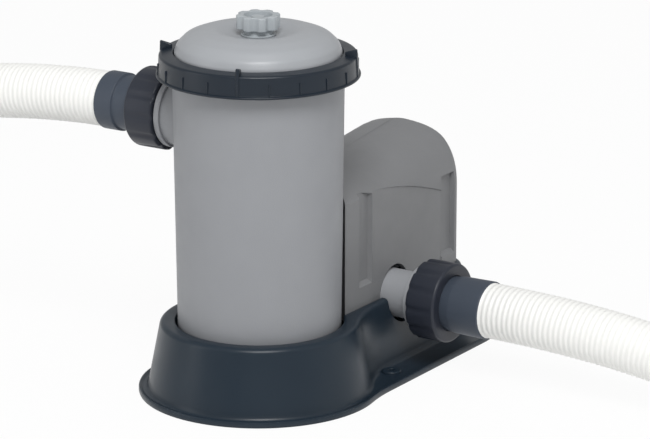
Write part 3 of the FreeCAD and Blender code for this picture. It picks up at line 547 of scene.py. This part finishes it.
def build_tank():
    wall = [(0, 12, 0), (62.9, 12, 3), (65.9, 253.5, 1), (69.5, 254, 0.5), (69.5, 262.3, 0.5)]
    wall += [(62, 262.3, 0.5), (62, 250, 0), (59.9, 16, 4), (0, 16, 0)]
    shell = turned(wall, 128)
    stub = [(0, 40, 0), (26.5, 40, 0), (26.5, 74, 0), (28.5, 74, 0.6), (28.5, 79, 0.8), (0, 79, 0)]
    port = turned(stub, 72)
    towards = pointing((0, 0, INLET_Z), (0, 1, 0))
    shell = carved(shell, put(port, towards), "UNION")
    shell = carved(shell, put(rod(BORE_R, 45, 100, 72), towards))
    shell = carved(shell, rod(59.6, 20, 240, 96))
    end = [(BORE_R, 78, 0), (SPIGOT_R, 78, 0), (SPIGOT_R, SPIGOT_END, 0.6), (BORE_R, SPIGOT_END, 0.6)]
    whole = put(joined(shell, put(turned(end, 72), towards)), standing_at(TANK, 0))
    finish = FINISHES["tank_plastic"]
    piece("tank_shell", whole, finish, "housing", "tank_plastic", "filter_tank", sharp=32)


def build_lid():
    outside = [(5.1, 284, 0), (14, 284, 0), (20, 284.8, 8), (33, 288.7, 16)]
    outside += [(45, 287.3, 20), (55.6, 283.6, 12), (61.9, 277.4, 8)]
    outside += [(64.1, 272, 6), (64.1, 266, 0.8), (69.3, 266, 0.5), (69.3, 262.5, 0.3)]
    outside.append((61.6, 262.5, 0))
    inside = [(61.6, 251, 0.6), (56.6, 251, 0.6), (56.6, 272, 5), (49, 281, 5), (5.1, 281.5, 0)]
    bm = put(turned(outside + inside, 128), standing_at(TANK, 0))
    piece("lid_dome", bm, FINISHES["lid_plastic"], "lid", "lid_plastic", "lid", sharp=50)


RING_RIBS = 20
RING_LUGS = 4
RING_TURN = 22


def build_lock_ring():
    section = [(70, 252.8, 0.4), (78.2, 252.8, 0.8), (78.2, 254.4, 0.8), (76.6, 255.0, 0.5)]
    section += [(75.9, 270.1, 2.2), (64.9, 271.1, 0.8), (64.9, 266.3, 0.3), (70, 266.3, 0)]
    body = turned(section, 160)
    rib = block((74.5, -0.55, 254.0), (77.3, 0.55, 264.6))
    for vert in rib.verts:
        if vert.co.x > 76 and vert.co.z > 260:
            vert.co.z -= 0.9
    lug = block((67.2, -1.5, 254.0), (77.4, 1.5, 276.4))
    for vert in lug.verts:
        if vert.co.x < 70:
            vert.co.z = 273.9 if vert.co.z > 260 else 269.0
        elif vert.co.z > 260:
            vert.co.x -= 0.8
    ribs = round_array(bevelled(rib, 0.45), RING_RIBS, math.radians(RING_TURN))
    lugs = round_array(bevelled(lug, 1.1), RING_LUGS, math.radians(RING_TURN))
    whole = put(joined(body, ribs, lugs), standing_at(TANK, 0))
    finish = FINISHES["dark_plastic"]
    piece("lock_ring_moulding", whole, finish, "lock_ring", "dark_plastic", "lock_ring")


KNOB_NECK_R = 12
SCALLOPS = 8
SCALLOP_DEEP = 0.17
SCALLOP_SHARE = 0.35


def build_vent():
    """The knob: a hollow head with scalloped sides, on a neck with a skirt."""
    outline = [(5.02, 284.1, 0), (13.4, 284.1, 0.4), (13.4, 285.4, 0.5), (11.6, 285.9, 0.4)]
    outline += [(11.6, 289.4, 0), (16.8, 289.4, 0.7), (16.8, 300, 0.8), (10.9, 300, 0.6)]
    outline += [(10.2, 294.5, 0.8), (5.02, 294.2, 0)]
    bm = turned(outline, 160)
    for vert in bm.verts:
        radius = math.hypot(vert.co.x, vert.co.y)
        if radius > KNOB_NECK_R and vert.co.z > 288.5:
            turn = math.atan2(vert.co.y, vert.co.x)
            scallop = max(0.0, SCALLOP_SHARE - math.cos(SCALLOPS * turn)) / (1 + SCALLOP_SHARE)
            wave = 1 - SCALLOP_DEEP * min(1.0, (radius - KNOB_NECK_R) / 3) * scallop**0.8
            vert.co.x *= wave
            vert.co.y *= wave
    put(bm, standing_at(TANK, 0))
    finish = FINISHES["knob_plastic"]
    piece("vent_knob_moulding", bm, finish, "vent", "knob_plastic", "vent_knob", sharp=50)


# ---- motor cover ----


COVER_HALF = 50.4
COVER_END = 220.2
COVER_TOP = 171.5
REAR_ROUND = 14.0
COVER_SKIN = 5.5
REAR_CORNER = 12
PANEL_DEEP = 1.0
RECESS_DEEP = 4.0
RECESSES = ((66.7, 82.2, 76.5, 151), (190, 207, 70, 133))
COVER_HOLE_R = 20.5
COVER_HOLE_OFF = (3, 1.5)

# The cover's hollow front keeps this distance from the tank's axis.
FRONT_GAP = 67
FRONT_X = 50

# The arch rises from the front height by the gain, over a run that starts at ARCH_X.
ARCH_FRONT = 25
ARCH_GAIN = 24.5
ARCH_X = 85
ARCH_RUN = 105

# The crown is level at the rear and falls from CROWN_X towards the tank.
CROWN_SLOPE = 0.10
CROWN_X = 196
CROWN_RUN = 115


def rise_at(x):
    """Height of the arch over the upright sides; it springs lower towards the rear."""
    return ARCH_FRONT + ARCH_GAIN * (min(max(x - ARCH_X, 0), ARCH_RUN + 2) / ARCH_RUN) ** 1.75


def side_at(x, z, inset):
    """Half width of the cover: upright sides, then the arch, a little square at the rear."""
    rise = rise_at(x)
    radius = (COVER_HALF**2 + rise**2) / (2 * rise)
    if z < COVER_TOP - rise:
        return COVER_HALF - inset
    up = (z - COVER_TOP + radius) / radius
    power = 2 + 0.35 * min(max((x - 120) / 70, 0), 1)
    reach = radius * max(1 - up**power, 0) ** (1 / power)
    return max(min(reach, COVER_HALF + 0.4) - inset, 0.6)


def sloped(x, y, z):
    """Lowers the crown of the cover towards the tank."""
    spring = COVER_TOP - rise_at(x)
    if z > spring:
        fall = CROWN_SLOPE * min(max(CROWN_X - x, 0), CROWN_RUN)
        z -= fall * (z - spring) / (COVER_TOP - spring)
    return x, y, z


def cover_outline(z, inset):
    """Plan of the cover's skin at a height; the front is hollowed out for the tank."""
    up = max(0.0, z - (COVER_TOP - REAR_ROUND))
    rise = REAR_ROUND - math.sqrt(max(REAR_ROUND**2 - up**2, 0))
    end = COVER_END - inset - rise
    rear = side_at(end - REAR_CORNER, z, inset)
    corner = min(rear, REAR_CORNER - inset + 0.5 * rise)
    side = rounded_end(end, rear, corner)
    gap = FRONT_GAP + inset
    near = side_at(FRONT_X, z, inset)
    start = math.sqrt(gap**2 - near**2)
    for k in range(1, 16):
        x = end - corner + (start - end + corner) * k / 16
        blend = min(1.0, (end - corner - x) / REAR_CORNER)
        side.append((x, rear + (side_at(x, z, inset) - rear) * blend))
    front = math.asin(near / gap)
    for k in range(13):
        turn = front * (1 - k / 12)
        side.append((gap * math.cos(turn), gap * math.sin(turn)))
    return side + [(x, -y) for x, y in side[-2:0:-1]]


def recess(low_x, high_x, low_z, high_z, side):
    """A cutter for an upright recess on one side of the cover, whose walls all flare outwards."""
    floor, mouth = COVER_HALF - RECESS_DEEP, COVER_HALF + RECESS_DEEP
    bm = block((low_x, floor, low_z), (high_x, mouth, high_z))
    for vert in bm.verts:
        out = (vert.co.y - COVER_HALF) / RECESS_DEEP
        vert.co.x += (out + 1) * (1.2 if vert.co.x > (low_x + high_x) / 2 else -2.2)
        if vert.co.z > (low_z + high_z) / 2:
            vert.co.z += (out + 1) * 2.0 - (0.4 * (vert.co.x - low_x) if low_x < 100 else 0)
        else:
            vert.co.z -= (out + 1) * 3.0
        vert.co.y *= side
    return outward(bm)


def side_panel(side):
    """A cutter for the flat, slightly sunk panel of one side, whose top edge is arched."""
    crest = [(84, 147.3), (96, 146.4), (107, 144.8), (118, 142.8), (128, 140.4)]
    crest += [(142, 137.2), (155, 133.4), (172, 128.2), (189, 122.4)]
    bm = bmesh.new()
    line = [(84, 40)] + crest + [(189, 40)]
    face = bm.faces.new([bm.verts.new((x, side * (COVER_HALF - PANEL_DEEP), z)) for x, z in line])
    made = bmesh.ops.extrude_face_region(bm, geom=[face])
    for vert in [v for v in made["geom"] if isinstance(v, bmesh.types.BMVert)]:
        vert.co.y += side * 3
        if vert.co.z > 60:
            vert.co.z += 3
    return outward(bm)


def build_cover():
    heights = [50, 90, 116, 120, 124, 128, 131, 134, 137, 140, 143, 146, 149, 152]
    heights += [COVER_TOP - 19.5 * (1 - k / 12) ** 2 for k in range(1, 12)]
    levels = []
    for z in reversed(heights):
        levels.append((cover_outline(z, COVER_SKIN), z - COVER_SKIN if z > 120 else z))
    levels += [(cover_outline(z, 0), z) for z in heights]
    shell = carved(stacked(levels, sloped), pipe_hole(COVER_HOLE_R, COVER_HOLE_OFF))
    for side in (1, -1):
        shell = carved(shell, side_panel(side))
    for sizes in RECESSES:
        for side in (1, -1):
            shell = carved(shell, recess(*sizes, side))
    put(shell, standing_at(TANK, 0))
    finish = FINISHES["cover_plastic"]
    piece(
        "motor_cover_shell", shell, finish, "housing", "cover_plastic", "motor_cover",
        bevel=0.7, sharp=30,
    )


PIPE_R = 19
PIPE_BORE_R = 14.5


def build_pump():
    """The pump body under the motor, in the dark ring finish: partly its own colour and partly painted
    shade for the hollow under the pipe. And the pipe that leaves it, a piece of its own, in a lighter
    copy of the tank plastic whose extra lightness is painted light.
    """
    bowl = [(0, 38.6, 0), (40, 38.6, 3), (40, 72, 1), (46, 72, 0.5), (46, 76, 0.5)]
    bowl += [(36.5, 76, 0), (36.5, 42, 2), (0, 42, 0)]
    body = turned(bowl, 96)
    pipe = [(PIPE_BORE_R, 26, 0), (PIPE_R, 26, 0), (PIPE_R, 74, 0.5), (25.5, 74, 0.6), (25.5, 79, 0.8)]
    pipe += [(SPIGOT_R, 79.2, 0), (SPIGOT_R, SPIGOT_END, 0.6), (PIPE_BORE_R, SPIGOT_END, 0.6)]
    port = put(turned(pipe, 72), pointing((OUTLET, 0, OUTLET_Z), (0, -1, 0)))
    # The pipe keeps the tank plastic's slot but takes the lighter copy: painted light.
    piece("outlet_pipe", port, PIPE_PAINTED_LIGHT_FINISH, "housing", "tank_plastic")
    put(body, standing_at(MOTOR, 0))
    # The pump body takes the dark ring finish instead of its slot's: partly its own colour, partly
    # painted shade so the hollow seen under the pipe stays dark.
    piece("pump_body", body, FINISHES["dark_plastic"], "housing", "tank_plastic", "pump_casing")


# ---- hose fittings, built along their own axis from the port's end face ----


NUT_R = 31.5
NUT_BACK = -18.5
NUT_FRONT = 7.5
NUT_GRIP_R = 27
NUT_DENTS = 12
NUT_DENT_DEEP = 1.5


def nut_mesh():
    """A nut with shallow grip dents that fade out at its front."""
    outline = [(24.3, NUT_BACK, 0.5), (NUT_R, NUT_BACK, 2), (NUT_R, NUT_FRONT, 2.2)]
    outline += [(21.9, NUT_FRONT, 0.8), (21.9, 3.8, 0.3), (24.6, 3.8, 0), (24.6, 0, 0), (24.3, 0, 0)]
    bm = turned(outline, 144)
    for vert in bm.verts:
        radius = math.hypot(vert.co.x, vert.co.y)
        if radius > NUT_GRIP_R:
            turn = math.atan2(vert.co.y, vert.co.x)
            dent = max(0.0, math.cos(NUT_DENTS * turn) - 0.25) / 0.75
            fade = min(1.0, max(0.0, (5.5 - vert.co.z) / 4)) * min(1.0, (radius - NUT_GRIP_R) / 4)
            keep = 1 - NUT_DENT_DEEP * math.sin(dent * math.pi / 2) ** 2 * fade / radius
            vert.co.x *= keep
            vert.co.y *= keep
    return bm


def cuff_mesh(stepped):
    """The tail of a fitting: the inlet's steps up to its wide end, the outlet's widens smoothly."""
    outline = [(BORE_R, 0.6, 0), (23.9, 0.6, 0.3), (23.9, 3.4, 0.3), (21.4, 3.4, 0)]
    outline += [(21.4, 25, 0.6), (23, 26, 1.0)] if stepped else [(21.5, 8, 4), (22.6, 15, 6)]
    outline += [(23, CUFF_LONG, 1.0), (BORE_R, CUFF_LONG, 0)]
    return turned(outline, 96)


def build_fitting(side, place, body, end=""):
    """A nut on its own body and the cuff inside it; returns the cuff's piece."""
    name = side + end
    nut = put(nut_mesh(), place)
    piece(name + "_nut_moulding", nut, FINISHES["nut_plastic"], body, "nut_plastic", name + "_nut")
    cuff = put(cuff_mesh(side == "inlet"), place)
    finish = FINISHES["cuff_plastic"]
    return piece(name + "_cuff_moulding", cuff, finish, "housing", "cuff_plastic", name + "_cuff")


# ---- hoses ----


def route_points(name, route):
    """The smooth line of a hose: points read from the NURBS curve that its route controls."""
    curve = bpy.data.curves.new(name, "CURVE")
    curve.dimensions = "3D"
    curve.resolution_u = 24
    spline = curve.splines.new("NURBS")
    spline.points.add(len(route) - 1)
    for point, place in zip(spline.points, route):
        point.co = (*place, 1)
    spline.order_u = 3
    spline.use_endpoint_u = True
    holder = bpy.data.objects.new(name, curve)
    bpy.context.collection.objects.link(holder)
    bpy.context.view_layer.update()
    mesh = bpy.data.meshes.new_from_object(holder)
    points = [v.co.copy() for v in mesh.vertices]
    bpy.data.objects.remove(holder)
    bpy.data.curves.remove(curve)
    bpy.data.meshes.remove(mesh)
    return points


def even_points(points, spacing):
    """The line again with points an even distance apart."""
    total = sum((b - a).length for a, b in zip(points, points[1:]))
    count = round(total / spacing)
    line = [points[0]]
    walked = 0.0
    for a, b in zip(points, points[1:]):
        run = (b - a).length
        while len(line) < count and walked + run >= len(line) * total / count:
            line.append(a.lerp(b, (len(line) * total / count - walked) / run))
        walked += run
    return line + [points[-1]]


RIB_PITCH = 4.6
RIB_DEPTHS = (0.0, 0.35, 1.3, 0.35)
HOSE_SIDES = 28


def build_hose(side, route):
    """A ribbed hose: a tube whose radius rises and falls along its line, closed at both ends."""
    path = route_points(side + "_route", route)
    line = even_points(path, RIB_PITCH / len(RIB_DEPTHS) * MM)
    bm = bmesh.new()
    rows = len(line) - 1
    bmesh.ops.create_grid(bm, x_segments=HOSE_SIDES, y_segments=rows, size=0.5)
    frames = []
    across = Vector((0, 0, 1))
    for k, here in enumerate(line):
        ahead = (line[min(k + 1, rows)] - line[max(k - 1, 0)]).normalized()
        across = (across - ahead * across.dot(ahead)).normalized()
        frames.append((here, across.copy(), ahead.cross(across)))
    for vert in bm.verts:
        turn = 2 * math.pi * (vert.co.x + 0.5)
        row = round((vert.co.y + 0.5) * rows)
        here, up, aside = frames[row]
        radius = (HOSE_R - RIB_DEPTHS[row % len(RIB_DEPTHS)]) * MM
        vert.co = here + radius * (math.cos(turn) * up + math.sin(turn) * aside)
    bmesh.ops.remove_doubles(bm, verts=bm.verts, dist=1e-6)
    bmesh.ops.holes_fill(bm, edges=bm.edges, sides=0)
    outward(bm)
    bmesh.ops.scale(bm, vec=(1 / MM, 1 / MM, 1 / MM), verts=bm.verts)
    finish = FINISHES["hose_plastic"]
    hose = piece(side + "_hose_ribbed", bm, finish, "housing", "hose_plastic", side + "_hose", sharp=80)


def build_hose_side(side, x, z, way, route):
    """One hose with the fittings at its port and at its far end."""
    near = pointing((x, way * PORT_FACE, z), (0, way, 0))
    build_fitting(side, near, side + "_nut")
    last = Vector(route[-1]) / MM
    ahead = (last - Vector(route[-2]) / MM).normalized()
    far = pointing(last + ahead * CUFF_LONG, -ahead)
    end_cuff = build_fitting(side, far, side + "_end_nut", "_end")
    build_hose(side, route)


# ---- room and light ----


FLOOR_WHITE = 0.94
WORLD_LIGHT = 0.48


def add_lamp(name, place, target, size, power):
    lamp = bpy.data.lights.new(name, "AREA")
    lamp.shape = "RECTANGLE"
    lamp.size, lamp.size_y = size
    lamp.energy = power
    thing = bpy.data.objects.new(name, lamp)
    thing.matrix_world = pointing(place, Vector(place) - Vector(target))
    bpy.context.collection.objects.link(thing)


def white_where_seen(tree, shader, strength):
    """Mixes a shader with plain white for rays that only see the background."""
    path = tree.nodes.new("ShaderNodeLightPath")
    rays = worked_out(tree, "MAXIMUM", path.outputs["Is Camera Ray"], path.outputs["Is Glossy Ray"])
    rays = worked_out(tree, "MAXIMUM", rays, path.outputs["Is Transmission Ray"])
    amount = worked_out(tree, "MULTIPLY", rays, strength)
    white = tree.nodes.new("ShaderNodeEmission")
    white.inputs["Strength"].default_value = 1.0
    mix = tree.nodes.new("ShaderNodeMixShader")
    tree.links.new(amount, mix.inputs["Fac"])
    tree.links.new(shader, mix.inputs[1])
    tree.links.new(white.outputs[0], mix.inputs[2])
    return mix.outputs[0]


def add_room():
    bm = bmesh.new()
    bmesh.ops.create_grid(bm, x_segments=1, y_segments=1, size=8)
    floor = new_object("floor", bm)
    material = bpy.data.materials.new("floor_white")
    material.use_nodes = True
    tree = material.node_tree
    shader = tree.nodes["Principled BSDF"]
    shader.inputs["Base Color"].default_value = (0.86, 0.86, 0.86, 1)
    shader.inputs["Roughness"].default_value = 0.9
    out = tree.nodes["Material Output"]
    tree.links.new(white_where_seen(tree, shader.outputs[0], FLOOR_WHITE), out.inputs["Surface"])
    floor.data.materials.append(material)
    world = bpy.data.worlds.new("studio")
    bpy.context.scene.world = world
    world.use_nodes = True
    tree = world.node_tree
    background = tree.nodes["Background"]
    background.inputs["Color"].default_value = (1, 1, 1, 1)
    background.inputs["Strength"].default_value = WORLD_LIGHT
    out = tree.nodes["World Output"]
    path = tree.nodes.new("ShaderNodeLightPath")
    seen = tree.nodes.new("ShaderNodeBackground")
    seen.inputs["Strength"].default_value = 1.0
    mix = tree.nodes.new("ShaderNodeMixShader")
    tree.links.new(path.outputs["Is Camera Ray"], mix.inputs["Fac"])
    tree.links.new(background.outputs[0], mix.inputs[1])
    tree.links.new(seen.outputs[0], mix.inputs[2])
    tree.links.new(mix.outputs[0], out.inputs["Surface"])


add_camera()
build_hose_side("inlet", TANK, INLET_Z, 1, INLET_ROUTE)
build_hose_side("outlet", OUTLET, OUTLET_Z, -1, OUTLET_ROUTE)
finish_nodes()
build_base()
build_tank()
build_lid()
build_lock_ring()
build_vent()
build_cover()
build_pump()
add_room()
add_lamp("key", (-1.35, -1.0, 2.1), (0, 0, 0.15), (1.1, 1.1), 43)
add_lamp("side", (0.6, -2.4, 1.2), (0, 0, 0.12), (1.0, 1.6), 2.5)
add_lamp("left", (-1.8, 1.6, 0.9), (0, 0, 0.15), (0.8, 1.6), 6)
bpy.context.scene.view_settings.view_transform = "Standard"
